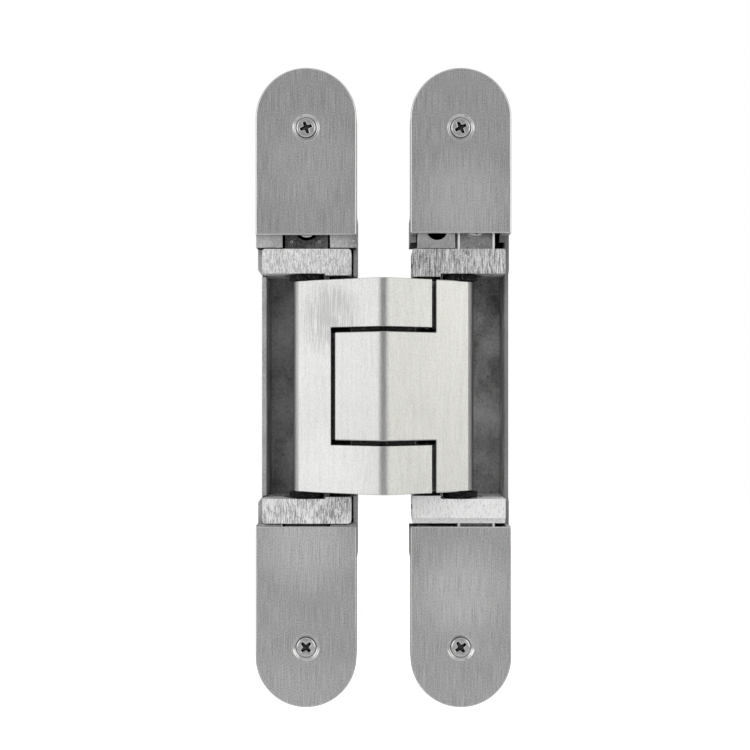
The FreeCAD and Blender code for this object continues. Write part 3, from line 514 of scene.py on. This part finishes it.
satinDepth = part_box("outer_arm")[0].y + 10.0 * mm  # the satin faces lie about here
arm = {
    "edge": 0.4, "segments": 4, "barrel": 4.2, "barrelTilt": 0.59,
    "outer": {"grainWidth": 0.34, "grainLength": 4.6, "band": 1.2, "polishSize": 24.0, "grain": 1.0,
              "banding": 0.5, "speck": 1.1, "drift": 0.4, "scratch": 0.3, "relief": 0.3,
              "dark": 0.55, "light": 0.97, "warmth": 0.008, "rough": 0.29, "seed": (2.0, 6.0, 3.0),
              # middle and radius, then gain in brightness and in roughness: painted highlight, brighter
              # towards the lower end
              "paintedSheens": [((9.0 * mm, satinDepth, -31.0 * mm), 24.0 * mm, 0.28, 0.0)],
              "stains": [((7.5 * mm, satinDepth, 20.0 * mm), 12.0 * mm)]},
    "inner": {"grainWidth": 0.34, "grainLength": 4.2, "band": 1.2, "polishSize": 26.0, "grain": 0.9,
              "banding": 0.45, "speck": 1.0, "drift": 0.3, "scratch": 0.2, "relief": 0.3,
              "dark": 0.55, "light": 0.97, "warmth": 0.012, "rough": 0.29, "seed": (8.0, 1.0, 5.0)},
    # darker tones of the rounded ends: painted shade
    "outerBarrel": {"dark": 0.42, "light": 0.78, "rough": 0.34, "paintedSheens": [], "stains": []},
    "innerBarrel": {"dark": 0.2, "light": 0.5, "rough": 0.34}}


def armZone(kind):  # 1: the rounded outer end: a darker, slightly rougher copy of the satin, painted shade where it turns from the light
    low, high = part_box(f"{kind}_arm")
    out, end = (-1, low.x) if kind == "outer" else (1, high.x)

    def zone(face):
        inside = (end - face.calc_center_median().x) * out < arm["barrel"] * mm
        return 1 if inside and face.normal.x * out > arm["barrelTilt"] else 0
    return zone


for kind in ("outer", "inner"):
    satin = brushedFinish(f"{kind}SatinArm", arm[kind])
    shadedBarrel = brushedFinish(f"{kind}PaintedShadeBarrel", {**arm[kind], **arm[f"{kind}Barrel"]})
    dressNode(f"{kind}_arm", [satin, shadedBarrel], arm, armZone(kind))
print("arms dressed")


pin = {"edge": 0.2, "segments": 2, "look": {"dark": 0.4, "light": 0.62, "rough": 0.28, "speck": 0.3}}
nylon = {"edge": 0.15, "segments": 2, "look": {"dark": 0.002, "light": 0.07, "shine": 0.16}}
pinFinish = turnedFinish("groundPin", pin["look"])
nylonSkin = nylonFinish("blackNylon", nylon["look"])
for node in nodes:
    if node.endswith(("roller", "washer", "spacer")):
        dressNode(node, [nylonSkin], nylon)
    elif node.endswith("pin"):
        dressNode(node, [pinFinish], pin)
print("pins and rollers dressed")


coverScrew = {
    "headRadius": 2.92, "proud": 0.25, "rimSlope": 0.5, "headDepth": 1.75, "shankRadius": 2.0, "lip": 0.26,
    "crossLength": 1.84, "crossWidth": 0.42, "crossDepth": 0.9, "crossTaper": 0.6,
    "lean": (-0.04, 0.0, 0.05),  # how far the head sits off the middle of its seat
    # radius, depth and finish: a groove in painted shade, then the polished rim
    "seat": ((2.94, 0.6, 1), (3.01, 0.6, 1), (3.48, 0.27, 0)),
    "tilts": {"left_upper": 19.0, "right_upper": 27.0, "left_lower": 44.0, "right_lower": 35.0},
    "look": {"dark": 0.7, "light": 1.0, "rough": 0.1, "speck": 0.3}}
adjustScrew = {
    "proud": 0.0, "rimSlope": 0.5, "headDepth": 1.8, "shankRadius": 1.5, "lip": 0.2,
    "crossLength": 1.5, "crossWidth": 0.36, "crossDepth": 0.9, "crossTaper": 0.6, "lean": (0.0, 0.0, 0.0),
    "tilts": {"left_upper": 12.0, "right_upper": 52.0, "left_lower": 27.0, "right_lower": 8.0},
    "look": {"dark": 0.8, "light": 1.0, "rough": 0.16, "speck": 0.3}}
headForm = {
    "sides": 56, "coreWidth": 1.3, "lipDepth": 0.65,
    "margin": 0.005,  # what lies within the head's radius and this leans with it
    # shares of the slope's width, in from the side and down from the face
    "rimSteps": ((0.9, 0.03), (0.15, 0.34), (0.0, 0.6))}
# near-black finish: painted shade in the driver recesses and the cover screws' head grooves
paintedShadeHollow = {"dark": 0.003, "light": 0.16, "rough": 0.24, "speck": 2.4}
paintedShadeCross = turnedFinish("paintedShadeHollow", paintedShadeHollow)
brightFinish = turnedFinish("brightScrew", coverScrew["look"])
adjustFinish = turnedFinish("adjustingScrew", adjustScrew["look"])


def ofKind(items, kind):
    return [item for item in items if isinstance(item, kind)]


def crossLoop(bm, reach, width, depth):  # outline of the driver recess, at a depth below the face
    corners, core = [], width * headForm["coreWidth"]
    for quarter in range(4):
        turn = Matrix.Rotation(quarter * math.pi / 2, 4, "Z")
        for spot in ((reach, -width), (reach, width), (core, core)):
            corners.append(bm.verts.new(turn @ Vector((*spot, -depth))))
    return [bm.edges.new(pair) for pair in zip(corners, corners[1:] + corners[:1])]


def drivenHead(bm, screw, radius):  # flat head face with a tapered cross recess, looking along +Z
    bmesh.ops.create_circle(bm, segments=headForm["sides"], radius=radius)
    rim = list(bm.edges)
    reach, width, lip = screw["crossLength"] * mm, screw["crossWidth"] * mm, screw["lip"] * mm
    mouth = crossLoop(bm, reach + lip, width + lip, 0.0)
    cross = crossLoop(bm, reach, width, lip * headForm["lipDepth"])
    bmesh.ops.triangle_fill(bm, edges=rim + mouth, use_beauty=True, normal=(0.0, 0.0, 1.0))
    bmesh.ops.bridge_loops(bm, edges=mouth + cross)
    walls = bmesh.ops.extrude_edge_only(bm, edges=cross)["geom"]
    foot = ofKind(walls, bmesh.types.BMVert)
    bmesh.ops.scale(bm, vec=(screw["crossTaper"], screw["crossTaper"], 1.0), verts=foot)
    bmesh.ops.translate(bm, vec=(0.0, 0.0, -screw["crossDepth"] * mm), verts=foot)
    floor = bmesh.ops.contextual_create(bm, geom=ofKind(walls, bmesh.types.BMEdge))["faces"]
    # the recess takes the painted shade
    for face in floor + ofKind(walls, bmesh.types.BMFace):
        face.material_index = 1
    return rim


def screwBody(bm, rim, steps):  # draws the rim down through (radius, depth, finish) steps and closes it
    edges = rim
    for radius, depth, finish in steps:
        grown = bmesh.ops.extrude_edge_only(bm, edges=edges)["geom"]
        verts = ofKind(grown, bmesh.types.BMVert)
        now = verts[0].co.xy.length
        bmesh.ops.scale(bm, vec=(radius / now, radius / now, 1.0), verts=verts)
        bmesh.ops.translate(bm, vec=(0.0, 0.0, -depth - verts[0].co.z), verts=verts)
        edges = ofKind(grown, bmesh.types.BMEdge)
        for face in ofKind(grown, bmesh.types.BMFace):
            face.material_index = finish
    bmesh.ops.contextual_create(bm, geom=edges)
    bmesh.ops.recalc_face_normals(bm, faces=bm.faces)


def slopingRim(radius, width):  # from the face down to the side, gently at first
    return [(radius - width * inset, width * depth, 0) for inset, depth in headForm["rimSteps"]]


# collar: the steps between the rim of the head and the shank's foot
def makeScrew(node, screw, radius, collar, finish):
    low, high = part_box(node)
    middle, slope, front = (low + high) / 2, screw["rimSlope"] * mm, low.y - screw["proud"] * mm
    bm = bmesh.new()
    rim = drivenHead(bm, screw, radius - slope)
    screwBody(bm, rim, slopingRim(radius, slope) + collar + [(screw["shankRadius"] * mm, high.y - front, 0)])
    head = [vert for vert in bm.verts if vert.co.xy.length < radius + headForm["margin"] * mm]
    place = Matrix.Translation((middle.x, front, middle.z)) @ Matrix.Rotation(math.pi / 2, 4, "X")
    tilt = screw["tilts"]["_".join(node.split("_")[:2])]
    bmesh.ops.transform(bm, matrix=place @ Matrix.Rotation(math.radians(tilt), 4, "Z"), verts=bm.verts)
    bmesh.ops.translate(bm, vec=Vector(screw["lean"]) * mm, verts=head)
    piece = showPiece(f"{node}_dressed", bm, [finish, paintedShadeCross], nodes[node]["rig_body"])
    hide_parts(node)


for node in nodes:
    if node.endswith("cover_screw"):
        neck = [(radius * mm, depth * mm, finish) for radius, depth, finish in coverScrew["seat"]]
        neck.append((coverScrew["shankRadius"] * mm, coverScrew["headDepth"] * mm, 0))
        makeScrew(node, coverScrew, coverScrew["headRadius"] * mm, neck, brightFinish)
    elif node.endswith(("gap_screw", "depth_screw")):
        low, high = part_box(node)
        radius, depth = (high.x - low.x) / 2, adjustScrew["headDepth"] * mm
        collar = [(radius, depth, 0), (adjustScrew["shankRadius"] * mm, depth, 0)]
        makeScrew(node, adjustScrew, radius, collar, adjustFinish)
print("screws made")


grub = {
    "radius": 0.85, "proud": 0.4, "inset": 5.0, "depth": 3.2, "sides": 20,
    # shares of the radius, and of how far the tip stands out
    "tip": ((0.0, -1.0), (0.55, -0.8), (0.9, -0.3), (1.0, 0.0), (1.0, 1.0)),
    "look": {"dark": 0.1, "light": 0.3, "rough": 0.4, "speck": 0.3}}
grubFinish = turnedFinish("grubScrew", grub["look"])


def makeGrub(end):  # domed tip of the grub screw in the inner flank of a right block
    node = f"right_{end}_block"
    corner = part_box(node)[0]
    level = tangEdge[end] + (-1 if end == "upper" else 1) * grub["inset"] * mm
    bm = bmesh.new()
    verts = [bm.verts.new((grub["proud"] * mm * along, grub["radius"] * mm * across, 0.0))
             for across, along in grub["tip"]]
    lines = [bm.edges.new(pair) for pair in zip(verts, verts[1:])]
    bmesh.ops.spin(bm, geom=verts + lines, cent=(0.0, 0.0, 0.0), axis=(1.0, 0.0, 0.0), angle=2 * math.pi,
                   steps=grub["sides"], use_merge=True)
    bmesh.ops.remove_doubles(bm, verts=bm.verts, dist=wear["merge"] * mm)
    bmesh.ops.holes_fill(bm, edges=[line for line in bm.edges if line.is_boundary])
    bmesh.ops.recalc_face_normals(bm, faces=bm.faces)
    bmesh.ops.translate(bm, vec=(corner.x, corner.y + grub["depth"] * mm, level), verts=bm.verts)
    showPiece(f"right_{end}_grub_screw", bm, [grubFinish], nodes[node]["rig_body"])


for end in ("upper", "lower"):
    makeGrub(end)
print("grub screws made")


studio = {  # lengths in metres
    "floorHeight": -0.25, "floorSize": 6.0, "floorCells": 8, "floorTone": 0.7, "floorGlow": 0.6,
    "floorMirror": 0.42, "floorNear": 0.5, "nearReach": 0.6, "domeLevel": 1.0,
    # levels of the reflected dome, with the squared sideways part of a direction where each begins or ends
    "frontLevel": 0.32, "frontEnd": 0.12, "stripLevel": 0.8, "stripStart": 0.34, "stripEnd": 0.58,
    "sideLevel": 0.46, "sidePlace": 0.75, "besideLevel": 0.9, "besidePlace": 0.95,
    "backLevel": 0.26, "back": (0.15, 0.35), "aboveLevel": 0.5, "above": (0.5, 0.8),
    "panelWidth": 0.6, "panelTall": 0.9, "panelReach": 0.95, "panelForward": 0.45, "panelHeight": 0.12,
    "panelAim": -0.03, "leftPower": 0.72, "leftColour": (1.0, 1.0, 1.0),
    "rightPower": 0.58, "rightColour": (1.0, 0.985, 0.84)}
view = {"distance": 0.48, "lens": 77.6, "sensor": 36.0, "shiftX": -0.0113, "shiftY": 0.0168, "aimX": 0.023}


def floorFinish():  # glows to the camera; in reflections it is a plain grey, paler near the part
    sheet = NodeSheet(bpy.data.materials.new("paleFloor"))
    light = sheet.node("ShaderNodeLightPath")
    seen = light["Is Camera Ray"] + light["Is Transmission Ray"]
    matte = sheet.node("ShaderNodeBsdfDiffuse", None, {"Color": grey(studio["floorTone"])})["BSDF"]
    glow = sheet.node("ShaderNodeEmission", None, {
        "Color": grey(1.0), "Strength": seen * studio["floorGlow"]})["Emission"]
    both = sheet.node("ShaderNodeAddShader", None, {"Shader": matte, "Shader_001": glow})["Shader"]
    near = sheet.spot((view["aimX"], 0.0, studio["floorHeight"]), studio["nearReach"])
    tone = sheet.blend(near, grey(studio["floorMirror"]), grey(studio["floorNear"]))
    mirror = sheet.node("ShaderNodeEmission", None, {"Color": tone})["Emission"]
    surface = sheet.node("ShaderNodeMixShader", None, {
        "Fac": light["Is Glossy Ray"], "Shader": both, "Shader_001": mirror})["Shader"]
    sheet.node("ShaderNodeOutputMaterial", None, {"Surface": surface})
    return sheet.owner


def makeFloor():
    bm = bmesh.new()
    bmesh.ops.create_grid(bm, x_segments=studio["floorCells"], y_segments=studio["floorCells"],
                          size=studio["floorSize"] / 2)
    bmesh.ops.translate(bm, vec=(view["aimX"], 0.0, studio["floorHeight"]), verts=bm.verts)
    mesh = bpy.data.meshes.new("studioFloor")
    bm.to_mesh(mesh)
    bm.free()
    mesh.materials.append(floorFinish())
    floor = bpy.data.objects.new("studioFloor", mesh)
    scene.collection.objects.link(floor)


def makeDome():  # white to the camera; in reflections it darkens towards the front, where the camera stands
    world = bpy.data.worlds.new("studioDome")
    scene.world = world
    sheet = NodeSheet(world)
    light = sheet.node("ShaderNodeLightPath")
    along = sheet.node("ShaderNodeTexCoord")["Generated"]
    axes = sheet.node("ShaderNodeSeparateXYZ", None, {"Vector": along})
    aside = sheet.ramp(
        axes["X"] * axes["X"], (0.0, studio["frontLevel"]), (studio["frontEnd"], studio["frontLevel"]),
        (studio["stripStart"], studio["stripLevel"]), (studio["stripEnd"], studio["stripLevel"]),
        (studio["sidePlace"], studio["sideLevel"]), (studio["besidePlace"], studio["besideLevel"]))
    around = sheet.blend(sheet.mask(axes["Y"], *studio["back"]), aside, grey(studio["backLevel"]))
    mirrored = sheet.blend(sheet.mask(axes["Z"], *studio["above"]), around, grey(studio["aboveLevel"]))
    seen = light["Is Glossy Ray"] + light["Is Transmission Ray"]
    inside = sheet.blend(seen, grey(studio["domeLevel"]), mirrored)
    colour = sheet.blend(light["Is Camera Ray"], inside, grey(1.0))
    glow = sheet.node("ShaderNodeBackground", None, {"Color": colour, "Strength": 1.0})["Background"]
    sheet.node("ShaderNodeOutputWorld", None, {"Surface": glow})


def makePanel(name, side, power, colour):
    lamp = bpy.data.lights.new(name, "AREA")
    lamp.shape = "RECTANGLE"
    lamp.size, lamp.size_y = studio["panelWidth"], studio["panelTall"]
    lamp.energy = power
    lamp.color = colour
    panel = bpy.data.objects.new(name, lamp)
    scene.collection.objects.link(panel)
    reach = view["aimX"] + side * studio["panelReach"]
    panel.location = (reach, -studio["panelForward"], studio["panelHeight"])
    aim = Vector((view["aimX"], studio["panelAim"], 0.0)) - panel.location
    panel.rotation_euler = aim.to_track_quat("-Z", "Y").to_euler()


def makeCamera():
    lens = bpy.data.cameras.new("frontCamera")
    lens.lens = view["lens"]
    lens.sensor_width = view["sensor"]
    lens.shift_x = view["shiftX"]
    lens.shift_y = view["shiftY"]
    camera = bpy.data.objects.new("frontCamera", lens)
    scene.collection.objects.link(camera)
    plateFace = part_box("left_upper_cover")[0].y
    camera.location = (view["aimX"], plateFace - view["distance"], 0.0)
    camera.rotation_euler = (math.pi / 2, 0.0, 0.0)
    scene.camera = camera


makeFloor()
makeDome()
makePanel("leftPanel", -1, studio["leftPower"], studio["leftColour"])
makePanel("rightPanel", 1, studio["rightPower"], studio["rightColour"])
makeCamera()
scene.view_settings.view_transform = "Standard"
print("studio ready")
